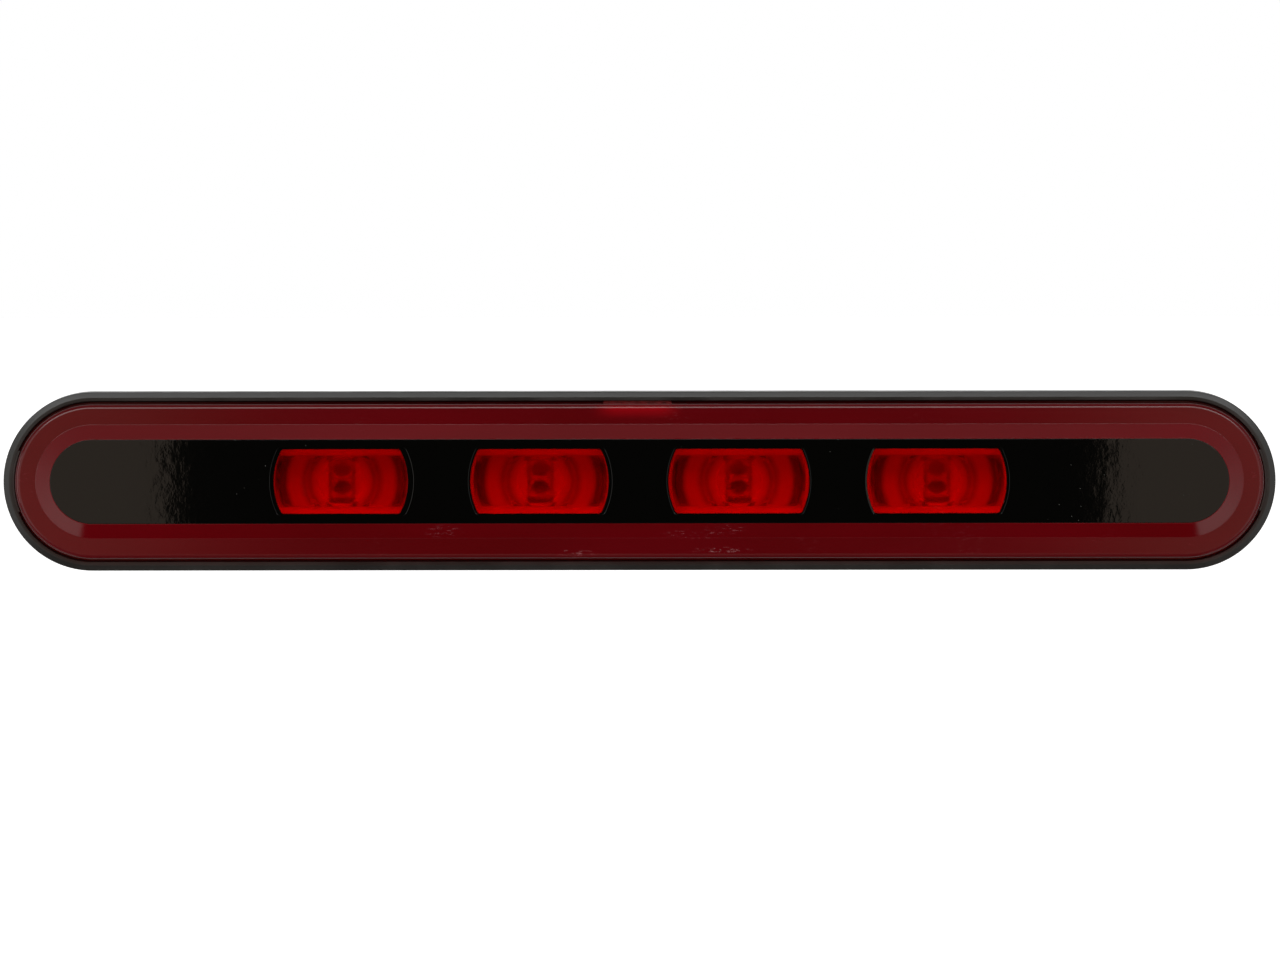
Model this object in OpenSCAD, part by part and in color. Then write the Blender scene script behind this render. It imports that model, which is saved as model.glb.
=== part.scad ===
// High-mounted third brake light: a sealed stadium-shaped LED lamp that clips into a body panel.
// Row frame: +X along the lamp, +Z up, the lamp shines towards -Y, origin on the panel's outer face.
// Inside the modules z is the height above the panel, towards the viewer, and y is up.

/* [Outline] */
// Distance between the centres of the two rounded ends
end_span = 215; // [208:0.5:230]
// Radius of the housing's rounded ends, which is half its height
housing_r = 17.7; // [17.4:0.1:18.4]
// Radius of the lens's side wall
lens_r = 15.15; // [14.95:0.05:15.15]
// Radius of the black mask on the lens's raised centre
mask_r = 8.25; // [8.15:0.05:8.4]

/* [Heights above the panel] */
// Front of the housing's rim
rim_h = 14.4; // [14:0.1:15]
// Front of the lens's outer band
band_h = 17.4; // [17:0.1:17.8]
// Front of the black mask
mask_h = 20.2; // [20:0.1:20.6]
// Thickness of the foam gasket
gasket_t = 4.6; // [4:0.1:4.6]

/* [Light windows] */
// Distance between neighbouring windows
window_pitch = 39; // [38.4:0.1:40]
// Radius of a window's bowed sides
window_r = 14.1; // [13.95:0.05:14.3]
// Height of a window between its straight edges
window_tall = 13.2; // [13:0.1:13.4]

/* [Fixings] */
// Distance between the two spring clips
clip_span = 176; // [170:1:180]
// Distance between the two locating pegs
peg_span = 96; // [90:1:110]
// Radius of a locating peg
peg_r = 2.5; // [2:0.1:3]
// Length of the connector socket behind the panel
socket_depth = 13; // [11:0.5:16]

/* [Hidden] */
$fn = 96;
window_count = 4;
black_plastic = "#2b2c29";
steel = "#b9bcc0";
clear_plastic = "#e8eef0";

// Heights of the layers inside
floor_h = 4.8;
plate_back_h = 2.6;
board_h = 7.2;
board_t = 1.6;
board_top = board_h + board_t;
ledge_h = 9.2;
groove_floor_h = 6.9;
flange_h = 11.2;
lens_inner_h = 15.2;
plateau_inner_h = 16.8;
mask_seat_h = 18.8;
pad_h = 20.0;
bezel_h = 13.4;
cup_front_h = 16.6;
led_tall = 1.9;
led_middle_y = 0.45;
led_step = 1.45;
bridge_top = board_top + 1.2;

// Radii of the stacked stadium outlines
cavity_r = 12.4;
rim_inner_r = 15.75;
lip_inner_r = 16.6;
slope_w = 1.05;
slope_drop = 0.45;
gasket_in_r = 12.9;
gasket_out_r = 16.4;
bezel_r = 13.4;
lens_inner_r = 13.5;
seal_in_r = 13.8;
seal_out_r = 15.3;
tongue_h = 7.6;

// Sizes of the windows' layers
pad_gap = 0.28;
pad_r = window_r - pad_gap;
pad_half = window_tall / 2 - pad_gap;
optic_r = 13.1;
optic_half = 4.95;
cup_r = 13.3;
cup_half = 5.1;
cup_outer_r = 14.8;
cup_outer_half = 7.0;

// Fixings inside
reflector_screw_x = window_pitch;
board_screw_x = 98;
blade_x = 3;
blade_w = 2.8;
blade_t = 0.8;
vent_x = 24;
end_lip_tall = 12;

// Spring clips, measured from each clip's middle
leg_pivot_x = 2.9;
leg_pivot_h = -8.95;
strip_t = 0.5;
bead_r = 0.55;
curl_in_r = 0.6;
curl_out_r = 1.1;

function window_x(i) = (i - (window_count - 1) / 2) * window_pitch;
function arc(cx, cy, r, from, to, steps) =
    [for (k = [0:steps]) let (a = from + (to - from) * k / steps) [cx + r * cos(a), cy + r * sin(a)]];

// ---- Shared shapes ----

// Turns a shape drawn with z towards the viewer so that it faces -Y
module facing() {
    rotate([90, 0, 0]) children();
}

module stadium(r) {
    square([end_span, 2 * r], center = true);
    for (side = [-1, 1])
        translate([side * end_span / 2, 0]) circle(r);
}

module slab(r, low, high) {
    translate([0, 0, low]) linear_extrude(high - low) stadium(r);
}

module ring(inner, outer, low, high) {
    difference() {
        slab(outer, low, high);
        slab(inner, low - 1, high + 1);
    }
}

// A solid whose half profile (distance from the long axis, height) follows the stadium's outline
module swept() {
    for (side = [-1, 1])
        translate([side * end_span / 2, 0, 0]) rotate_extrude() children();
    rotate([90, 0, 90]) translate([0, 0, -end_span / 2]) linear_extrude(end_span) {
        children();
        mirror([1, 0]) children();
    }
}

// A circle cut off straight above and below, the outline of a light window
module window_outline(r, half) {
    intersection() {
        circle(r);
        square([2 * r + 2, 2 * half], center = true);
    }
}

module window_prism(r, half, low, high) {
    translate([0, 0, low]) linear_extrude(high - low) window_outline(r, half);
}

// The same prism, opening by flare over its height
module flared_window(r, half, flare, low, high) {
    intersection() {
        translate([0, 0, low]) cylinder(h = high - low, r1 = r, r2 = r + flare);
        rotate([90, 0, 90]) translate([0, 0, -r - flare - 1]) linear_extrude(2 * (r + flare + 1))
            polygon([[-half, low], [half, low], [half + flare, high], [-half - flare, high]]);
    }
}

module rounded(w, h, r) {
    square([w - 2 * r, h], center = true);
    square([w, h - 2 * r], center = true);
    for (x = [-1, 1], y = [-1, 1])
        translate([x * (w / 2 - r), y * (h / 2 - r)]) circle(r, $fn = 32);
}

module rounded_block(w, h, r, low, high) {
    translate([0, 0, low]) linear_extrude(high - low) rounded(w, h, r);
}

module block(w, h, low, high) {
    translate([-w / 2, -h / 2, low]) cube([w, h, high - low]);
}

// ---- Housing ----

// Outer wall with its draft, sloping front edge and the lip that hides the gasket
module housing_outline() {
    front_r = housing_r - 0.15;
    polygon([
        [0, 1.5], [housing_r, 1.5], [housing_r, 3.5], [front_r, rim_h - slope_drop],
        [front_r - slope_w, rim_h], [0, rim_h]
    ]);
}

module housing_shell() {
    difference() {
        swept() housing_outline();
        slab(12.7, 0, plate_back_h);
        ring(12.7, lip_inner_r, 0, gasket_t);
        slab(cavity_r, floor_h, rim_h + 1);
        slab(rim_inner_r, ledge_h, rim_h + 1);
        ring(seal_in_r, seal_out_r, groove_floor_h, ledge_h + 1);
    }
}

// Lips at both ends that close the gap between the rim and the lens
module end_lips() {
    for (side = [-1, 1]) intersection() {
        ring(lens_r + 0.2, rim_inner_r + 0.2, rim_h - 2.4, rim_h);
        translate([side * (end_span + housing_r) / 2, 0, 0])
            block(housing_r, end_lip_tall, 0, rim_h + 1);
    }
}

module board_bosses() {
    for (x = [reflector_screw_x, board_screw_x], side = [-1, 1])
        translate([side * x, 0, floor_h - 0.5]) cylinder(h = board_h - floor_h + 0.5, r = 3);
}

module floor_ribs() {
    for (x = [-83, -68, -54, -24, 56, 68, 83])
        translate([x, 0, 0]) block(1.2, 20, floor_h - 0.2, board_h - 0.6);
}

module socket_shroud() {
    difference() {
        union() {
            rounded_block(20, 14, 2, -socket_depth, plate_back_h + 0.2);
            // Locking ramp on top of the shroud
            translate([-3, 0, 0]) rotate([90, 0, 90]) linear_extrude(6)
                polygon([[6.9, -socket_depth + 2], [8.4, -socket_depth + 5], [8.4, -socket_depth + 6.4],
                    [6.9, -socket_depth + 6.4]]);
            // Guide rails beside the ramp
            for (x = [-6.2, 6.2])
                translate([x, 7.3, 0]) block(1.2, 1.4, -socket_depth, plate_back_h + 0.2);
        }
        rounded_block(16.8, 10.8, 1, -socket_depth - 1, 0.8);
    }
    // Keying rib inside the mouth
    translate([-6, -4.9, 0]) block(1.2, 1.2, -socket_depth + 1.5, 1);
}

module clip_towers() {
    for (side = [-1, 1]) translate([side * clip_span / 2, 0, 0]) {
        block(3.2, 9, -8.6, plate_back_h + 0.2);
        block(7, 11.4, 1.4, plate_back_h + 0.2);
        // Catches that hold the saddle's windows
        for (face = [-1, 1]) translate([0, 2, 0]) rotate([90, 0, 0]) linear_extrude(4)
            polygon([[0, -3.4], [face * 2.3, -3.4], [face * 1.6, -5.4], [0, -5.4]]);
    }
}

module locating_pegs() {
    for (side = [-1, 1]) translate([side * peg_span / 2, 0, 0]) {
        translate([0, 0, -5.5]) cylinder(h = plate_back_h + 5.7, r = peg_r);
        translate([0, 0, -6.5]) cylinder(h = 1, r1 = peg_r - 0.8, r2 = peg_r);
    }
}

module vent_spigot() {
    translate([vent_x, 0, -2]) cylinder(h = plate_back_h + 2.2, r = 2.6);
}

module housing() color(black_plastic) facing() {
    difference() {
        union() {
            housing_shell();
            end_lips();
            board_bosses();
            floor_ribs();
            socket_shroud();
            clip_towers();
            locating_pegs();
            vent_spigot();
        }
        for (x = [reflector_screw_x, board_screw_x], side = [-1, 1])
            translate([side * x, 0, 3.6]) cylinder(h = board_h, r = 1.25);
        translate([vent_x, 0, -3]) cylinder(h = floor_h + 4, r = 1.4);
        // Slots for the blades and the well that is potted around them
        for (side = [-1, 1])
            translate([side * blade_x, 0, 0]) block(blade_w + 0.1, blade_t + 0.1, 0, floor_h + 1);
        rounded_block(12, 6, 1, 3.2, floor_h + 1);
    }
}

module gasket() color("#1c1c1c") facing() {
    ring(gasket_in_r, gasket_out_r, 0, gasket_t);
}

// ---- Lens ----

// Outside of the lens: side wall, rounded edge, outer band, bevel and the raised centre's lip
module lens_outline() {
    edge_r = 1;
    lip_r = 0.1;
    bevel_r = 11.15;
    top_r = mask_r + 0.08;
    flange_r = rim_inner_r - 0.15;
    polygon([
        [0, ledge_h], [flange_r, ledge_h], [flange_r, flange_h],
        [lens_r, flange_h], [lens_r, band_h - edge_r],
        [lens_r - edge_r, band_h - edge_r], [lens_r - edge_r, band_h], [bevel_r, band_h],
        [top_r + lip_r, mask_h - 0.2], [top_r, mask_h - 0.1], [0, mask_h - 0.1]
    ]);
    translate([lens_r - edge_r, band_h - edge_r]) circle(edge_r, $fn = 48);
}

module lens_hollow() {
    polygon([
        [0, 0], [lens_inner_r, 0], [lens_inner_r, lens_inner_h - 0.6], [lens_inner_r - 0.6, lens_inner_h],
        [10.3, lens_inner_h], [8.7, plateau_inner_h], [0, plateau_inner_h]
    ]);
}

module outer_lens() color("#8e0a10") facing() {
    difference() {
        swept() lens_outline();
        swept() lens_hollow();
        difference() {
            slab(mask_r + 0.05, mask_seat_h, mask_h + 1);
            for (i = [0:window_count - 1])
                translate([window_x(i), 0, 0]) window_prism(pad_r, pad_half, mask_seat_h - 1, pad_h);
        }
    }
    // Tongue that sits in the housing's sealing groove
    ring(lens_r - 1, lens_r, tongue_h, ledge_h + 0.2);
    // Gate tab at the middle of the upper edge
    translate([-7.1, lens_r - 0.3, flange_h - 0.2]) cube([13.4, 0.8, 2.6]);
}

module lens_mask() color("#050505") facing() {
    edge = 0.1;
    difference() {
        union() {
            slab(mask_r, mask_seat_h, mask_h - edge);
            swept() polygon([
                [0, mask_h - edge - 0.1], [mask_r, mask_h - edge - 0.1], [mask_r, mask_h - edge],
                [mask_r - edge, mask_h], [0, mask_h]
            ]);
        }
        for (i = [0:window_count - 1]) translate([window_x(i), 0, 0]) {
            window_prism(window_r, window_tall / 2, mask_seat_h - 1, mask_h + 1);
            flared_window(window_r - edge, window_tall / 2 - edge, 3 * edge,
                mask_h - edge * 2, mask_h + edge);
        }
    }
}

module lens_seal() color("#3a3a38") facing() {
    difference() {
        ring(seal_in_r, seal_out_r, groove_floor_h, ledge_h);
        ring(lens_r - 1, lens_r, tongue_h, ledge_h + 1);
    }
}

// ---- Light engine ----

module inner_bezel() color("#3c3d3b") facing() {
    difference() {
        union() {
            slab(bezel_r, bezel_h - 1.2, bezel_h);
            ring(12.5, bezel_r, ledge_h, bezel_h - 0.6);
        }
        for (i = [0:window_count - 1])
            translate([window_x(i), 0, 0])
                window_prism(cup_outer_r + 0.2, cup_outer_half + 0.2, 0, bezel_h + 1);
    }
}

module reflector_cup() {
    window_prism(cup_outer_r, cup_outer_half, board_top, cup_front_h);
}

module reflector_cup_hollow() {
    // Flare, seat for the optic, chamber behind it, opening for the LEDs and room over the board
    flared_window(cup_r, cup_half, 1.15, 14.8, cup_front_h + 0.02);
    window_prism(cup_r, cup_half, 12.6, 15);
    window_prism(12.4, 4.6, 11, 13);
    rounded_block(4.2, 7.2, 0.4, 0, 12);
    block(22, 10.4, board_top - 1, 9.9);
}

module reflector() color("#f2f2ee") facing() {
    difference() {
        union() {
            for (i = [0:window_count - 1]) translate([window_x(i), 0, 0]) reflector_cup();
            // Side rails and the two screw bridges
            for (side = [-1, 1]) translate([0, side * 6.1, 0])
                block((window_count - 1) * window_pitch, 1.8, board_top, board_top + 2);
            for (side = [-1, 1]) translate([side * reflector_screw_x, 0, 0])
                block(14, 11, board_top, bridge_top);
        }
        for (i = [0:window_count - 1]) translate([window_x(i), 0, 0]) reflector_cup_hollow();
        for (side = [-1, 1])
            translate([side * reflector_screw_x, 0, 0]) cylinder(h = 20, r = 1.5);
    }
}

// Section of an optic: domed centre, dark groove, bright ring, second groove and outer flange
function optic_section() = concat(
    [[0, 11.1], [3.2, 11.1], [4.5, 12.6], [13.1, 12.6], [13.1, 14.3], [12.2, 14.3], [11.2, 13.5],
     [10.1, 15.1], [7.1, 15.6], [6.2, 13.9], [5.2, 15.2]],
    [for (a = [26:-2:0]) [5.2 * sin(a) / sin(26), 15.2 + 1.0 * (cos(a) - cos(26)) / (1 - cos(26))]]
);

module optic(i) color(clear_plastic) facing() translate([window_x(i), 0, 0]) {
    intersection() {
        rotate_extrude() polygon(optic_section());
        block(2 * optic_r + 2, 2 * optic_half, 0, 20);
    }
}

module circuit_board() color("#1f6b3a") facing() {
    difference() {
        rounded_block(210, 19, 3, board_h, board_top);
        for (x = [reflector_screw_x, board_screw_x], side = [-1, 1])
            translate([side * x, 0, 0]) cylinder(h = 20, r = 1.5);
        for (side = [-1, 1])
            translate([side * blade_x, 0, 0]) block(1.3, 0.9, 0, 20);
    }
}

module led_package() {
    difference() {
        block(3.2, 2.8, 0, led_tall);
        translate([0, 0, 1.2]) cylinder(h = 1, r1 = 0.9, r2 = 1.4);
    }
    translate([0, 0, 1.15]) cylinder(h = 0.3, r = 0.5);
}

module led(i, side) color("#f4f4f0") facing()
    translate([window_x(i), led_middle_y + side * led_step, board_top]) led_package();

module resistor(x, y) color("#222222") facing() translate([x, y, board_top]) {
    block(6.3, 3.2, 0, 0.6);
}

module moulded_part(x, y, w, h, tall) facing() translate([x, y, board_top]) {
    block(w, h, 0.2, tall);
    for (side = [-1, 1])
        translate([side * w / 2, 0, 0]) block(1.2, h * 0.55, 0, tall * 0.45);
}

// ---- Connector and vent ----

module terminal(side) color("#c9b37a") facing() translate([side * blade_x, 0, 0]) {
    block(blade_w, blade_t, -7.6, 4.4);
    translate([0, 0, -8.4]) rotate([90, 0, 0]) linear_extrude(blade_t, center = true)
        polygon([[-blade_w / 2, 0.8], [blade_w / 2, 0.8], [blade_w / 2 - 0.6, 0], [-blade_w / 2 + 0.6, 0]]);
    block(1.2, blade_t, 4.3, 10.4);
}

module terminal_potting() color("#101010") facing() {
    difference() {
        rounded_block(11.9, 5.9, 1, 3.2, 4.6);
        for (side = [-1, 1]) translate([side * blade_x, 0, 0]) {
            block(blade_w, blade_t, 0, 4.4);
            block(1.2, blade_t, 4, 6);
        }
    }
}

module solder_joint(side) color("#c8c8c8") facing() translate([side * blade_x, 0, board_top]) {
    difference() {
        cylinder(h = 1.1, r1 = 1.5, r2 = 0.8);
        block(1.2, blade_t, -1, 3);
    }
}

module vent_membrane() color("#f0f0f0") facing() {
    translate([vent_x, 0, -2.3]) cylinder(h = 0.3, r = 2.5);
}

module vent_cap() color("#171717") facing() translate([vent_x, 0, 0]) {
    difference() {
        translate([0, 0, -3.8]) cylinder(h = 4.6, r = 3.9);
        translate([0, 0, -2.6]) cylinder(h = 5, r = 2.65);
        // Breathing slots
        for (a = [0:60:300]) rotate([0, 0, a]) translate([3.2, 0, 0]) block(1.6, 1, -3, -2.1);
    }
}

// ---- Fasteners ----

module pan_screw(x, head_h, shank) color(steel) facing() translate([x, 0, head_h]) {
    difference() {
        union() {
            cylinder(h = 1.1, r = 2.5);
            translate([0, 0, 1.1]) cylinder(h = 0.6, r1 = 2.5, r2 = 1.7);
        }
        // Cross recess
        translate([0, 0, 0.8]) for (a = [0, 90]) rotate([0, 0, a]) block(2.6, 0.6, 0, 2);
    }
    translate([0, 0, -shank + 0.6]) cylinder(h = shank - 0.5, r = 1.2);
    translate([0, 0, -shank]) cylinder(h = 0.61, r1 = 0.5, r2 = 1.2);
}

// ---- Spring clips ----

module saddle_strip() {
    for (face = [-1, 1]) difference() {
        translate([face * 1.9, 0, 0]) block(strip_t, 8, -8.8, 1.0);
        translate([face * 1.9, 0, 0]) block(2, 4.4, -5.6, -3.2);
    }
    block(2 * leg_pivot_x, 8, -9.2, -8.7);
    for (face = [-1, 1])
        translate([face * leg_pivot_x, 4, leg_pivot_h]) rotate([90, 0, 0])
            cylinder(h = 8, r = bead_r, $fn = 32);
}

module clip_saddle(side) color(steel) facing() translate([side * clip_span / 2, 0, 0]) {
    saddle_strip();
}

// Section of a spring leg: curl round the saddle's bead, sloping strip, barb and tail
module leg_section() {
    difference() {
        circle(curl_out_r, $fn = 48);
        circle(curl_in_r, $fn = 48);
        polygon(concat([[0, 0]], arc(0, 0, 3, 105, 220, 5)));
    }
    polygon([[0.46, 0.8], [0.95, 0.45], [4.0, 7.2], [2.3, 9.0], [1.93, 8.66], [3.42, 7.08]]);
}

module clip_leg(side, face) color(steel) facing() translate([side * clip_span / 2, 0, 0])
    mirror([face < 0 ? 1 : 0, 0, 0]) translate([leg_pivot_x, 3.8, leg_pivot_h])
    rotate([90, 0, 0]) linear_extrude(7.6) leg_section();

// ---- Nodes ----

housing();
gasket();
lens_seal();
outer_lens();
lens_mask();
inner_bezel();
reflector();
for (i = [0:window_count - 1]) {
    optic(i);
    led(i, 1);
    led(i, -1);
}
circuit_board();
for (i = [0:3])
    resistor(-90 + 9 * (i % 2), i < 2 ? 5 : -5);
color("#1b1b1d") moulded_part(80, 5, 4.3, 2.7, 2.2);  // polarity_diode
color("#1b1b1d") moulded_part(80, -5, 4.6, 3.6, 2.3);  // surge_suppressor
color("#a08a6c") moulded_part(88, 5.5, 3.2, 1.6, 1.4);  // capacitor_1
color("#a08a6c") moulded_part(88, -5.5, 3.2, 1.6, 1.4);  // capacitor_2
color("#161618") moulded_part(-98, 5, 4.9, 3.9, 1.6);  // current_driver
terminal(-1);  // positive_terminal
terminal(1);  // ground_terminal
terminal_potting();
solder_joint(-1);  // positive_solder_joint
solder_joint(1);  // ground_solder_joint
vent_membrane();
vent_cap();
pan_screw(-reflector_screw_x, bridge_top, 6.2);  // reflector_screw_left
pan_screw(reflector_screw_x, bridge_top, 6.2);  // reflector_screw_right
pan_screw(-board_screw_x, board_top, 5);  // board_screw_left
pan_screw(board_screw_x, board_top, 5);  // board_screw_right
clip_saddle(-1);  // left_clip_saddle
clip_leg(-1, -1);  // left_clip_outer_leg
clip_leg(-1, 1);  // left_clip_inner_leg
clip_saddle(1);  // right_clip_saddle
clip_leg(1, 1);  // right_clip_outer_leg
clip_leg(1, -1);  // right_clip_inner_leg
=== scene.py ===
"""Looks of a third brake light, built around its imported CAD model.

Shapes are drawn in millimetres in the lamp's own directions: x along it, y up, and h the height above the
vehicle's panel, towards the viewer. In the row frame that point is (x, -h, y).
"""

import math

import bmesh
import bpy
from mathutils import Matrix, Vector


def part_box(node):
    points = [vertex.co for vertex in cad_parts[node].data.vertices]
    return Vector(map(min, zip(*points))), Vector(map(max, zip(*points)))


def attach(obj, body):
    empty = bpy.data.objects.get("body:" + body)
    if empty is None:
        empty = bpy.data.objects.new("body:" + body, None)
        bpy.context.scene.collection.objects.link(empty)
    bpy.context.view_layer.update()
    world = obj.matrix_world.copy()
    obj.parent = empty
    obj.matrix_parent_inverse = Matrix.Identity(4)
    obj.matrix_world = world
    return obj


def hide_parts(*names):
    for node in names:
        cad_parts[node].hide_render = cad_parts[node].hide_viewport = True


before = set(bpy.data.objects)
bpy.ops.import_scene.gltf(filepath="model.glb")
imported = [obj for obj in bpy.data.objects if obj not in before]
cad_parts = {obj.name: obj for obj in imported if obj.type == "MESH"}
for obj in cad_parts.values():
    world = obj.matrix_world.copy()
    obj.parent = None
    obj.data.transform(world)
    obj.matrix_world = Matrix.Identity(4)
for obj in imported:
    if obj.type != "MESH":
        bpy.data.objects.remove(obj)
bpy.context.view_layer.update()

MM = 0.001


def extent(node):
    """Half width, half height, back and front of a CAD node, in millimetres."""
    low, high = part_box(node)
    return (high.x - low.x) / 2 / MM, (high.z - low.z) / 2 / MM, -high.y / MM, -low.y / MM


def middle_x(node):
    low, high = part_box(node)
    return (low.x + high.x) / 2 / MM


# ---- Sizes, from the CAD model and in the same steps as its source ----

HOUSING_HALF_W, HOUSING_R, SOCKET_BACK, RIM_H = extent("housing")
SPAN = 2 * (HOUSING_HALF_W - HOUSING_R)
_, FLANGE_R, TONGUE_H, _ = extent("outer_lens")
_, MASK_R, MASK_BACK, MASK_H = extent("lens_mask")
_, GASKET_R, _, GASKET_T = extent("gasket")
OPTIC_R, OPTIC_HALF, OPTIC_BACK, OPTIC_FRONT = extent("optic_1")
LED_HALF_W, LED_HALF_T, BOARD_TOP, LED_TOP = extent("led_1_upper")
WINDOWS = (1, 2, 3, 4)
WINDOW_X = {i: middle_x(f"optic_{i}") for i in WINDOWS}

# Lens
LENS_R = FLANGE_R - 0.45
LENS_INNER_R = 13.5
BEVEL_R = 11.15
LIP_R = 8.4
LIP_H = 20.05
BAND_H = 17.4
FLANGE_H = 11.2

# The mask's windows, and for the pad in each its shift along the lamp and the radius of its bowed sides
WINDOW_R = 14.1
WINDOW_HALF = 6.6
PAD_GAP = 0.28
PAD_H = 20.0
PAD_FITS = ((-0.15, 13.45), (-0.15, 13.85), (0, 14.1), (-0.15, 14.0))
OPTIC_PITCH = 39

# Housing and gasket
LEDGE_H = 9.2
FLOOR_H = 4.8
PLATE_BACK_H = 2.6
CAVITY_R = 12.4
SEAL_INNER_R = 13.8
SEAL_OUTER_R = 15.3
SEAL_H = 6.9
GASKET_INNER_R = 12.9
RIM_SLOPE_W = 1.05
RIM_SLOPE_DROP = 0.45
ROOT_R = 0.35
PEG_X = 48
PEG_R = 2.5
VENT_X = 24
VENT_R = 2.6
CLIP_X = middle_x("right_clip_saddle")
SCREW_X = (39, 98)
RIB_X = (-83, -68, -54, -24, 56, 68, 83)

# Scuffed spots of the lens: place along and up, half width and half height
SCUFFS = ((-38.5, -9.8, 4.5, 1.6), (-12.5, -14.2, 5, 0.9), (11, -10.4, 8, 1.1), (17, -9.4, 5, 1.2),
          (16, -13.6, 7, 0.8))


# ---- Outlines and profiles ----

def arc(cx, cy, radius, start, end, steps):
    """Points on a circle from one angle to another, in degrees."""
    angles = [math.radians(start + (end - start) * k / steps) for k in range(steps + 1)]
    return [(cx + radius * math.cos(a), cy + radius * math.sin(a)) for a in angles]


def stadium(radius):
    return arc(SPAN / 2, 0, radius, -90, 90, 64) + arc(-SPAN / 2, 0, radius, 90, 270, 64)


def circle(cx, cy, radius, steps=40):
    return arc(cx, cy, radius, 0, 360, steps)[:-1]


def oval(cx, cy, half_w):
    """The outline of an LED's resin window, four fifths as tall as it is wide."""
    return [(x, cy + (y - cy) * 0.8) for x, y in circle(cx, cy, half_w)]


def rounded_box(cx, cy, width, height, radius):
    dx, dy = width / 2 - radius, height / 2 - radius
    corners = ((dx, -dy, -90), (dx, dy, 0), (-dx, dy, 90), (-dx, -dy, 180))
    return [p for x, y, a in corners for p in arc(cx + x, cy + y, radius, a, a + 90, 5)]


def window(cx, grow, radius=WINDOW_R, half=WINDOW_HALF, corner=0.9):
    """A circle cut off straight above and below, with rounded corners, grown outwards by grow."""
    radius, half, corner = radius + grow, half + grow, corner + grow
    y = half - corner
    x = math.sqrt((radius - corner) ** 2 - y ** 2)
    turn = math.degrees(math.atan2(y, x))
    return (arc(cx, 0, radius, -turn, turn, 20)
            + arc(cx + x, y, corner, turn, 90, 6)[1:]
            + arc(cx - x, y, corner, 90, 180 - turn, 6)
            + arc(cx, 0, radius, 180 - turn, 180 + turn, 20)[1:]
            + arc(cx - x, -y, corner, 180 + turn, 270, 6)[1:]
            + arc(cx + x, -y, corner, 270, 360 - turn, 6)[:-1])


def fillet(corners, steps=6):
    """A line through corners (a, b, radius), each rounded by its radius; 0 keeps a corner sharp."""
    points = []
    for k, (a, b, radius) in enumerate(corners):
        here = Vector((a, b))
        if radius == 0:
            points.append((a, b))
            continue
        before = (Vector(corners[k - 1][:2]) - here).normalized()
        after = (Vector(corners[(k + 1) % len(corners)][:2]) - here).normalized()
        half = before.angle(after) / 2
        centre = here + (before + after).normalized() * (radius / math.sin(half))
        reach = radius / math.tan(half)
        first = here + before * reach - centre
        turn = first.angle_signed(here + after * reach - centre)
        for step in range(steps + 1):
            angle = -turn * step / steps
            points.append((centre.x + first.x * math.cos(angle) - first.y * math.sin(angle),
                           centre.y + first.x * math.sin(angle) + first.y * math.cos(angle)))
    return points


def offset_strip(path, thickness):
    """The outline of a strip of even thickness along a path."""
    sides = ([], [])
    for k, point in enumerate(path):
        here = Vector(point)
        ahead = Vector(path[min(k + 1, len(path) - 1)]) - here
        behind = here - Vector(path[max(k - 1, 0)])
        along = (ahead.normalized() + behind.normalized()).normalized()
        across = Vector((-along.y, along.x)) * thickness / 2
        sides[0].append(tuple(here + across))
        sides[1].append(tuple(here - across))
    return sides[0] + sides[1][::-1]


# ---- Mesh building ----

def facing(x, y, h):
    """Places outlines that face the viewer."""
    return x, -h, y


def from_above(x, h, y):
    """Places outlines seen along the lamp's height."""
    return x, -h, y


def from_end(y, h, x):
    """Places outlines seen along the lamp's length."""
    return x, -h, y


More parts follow.
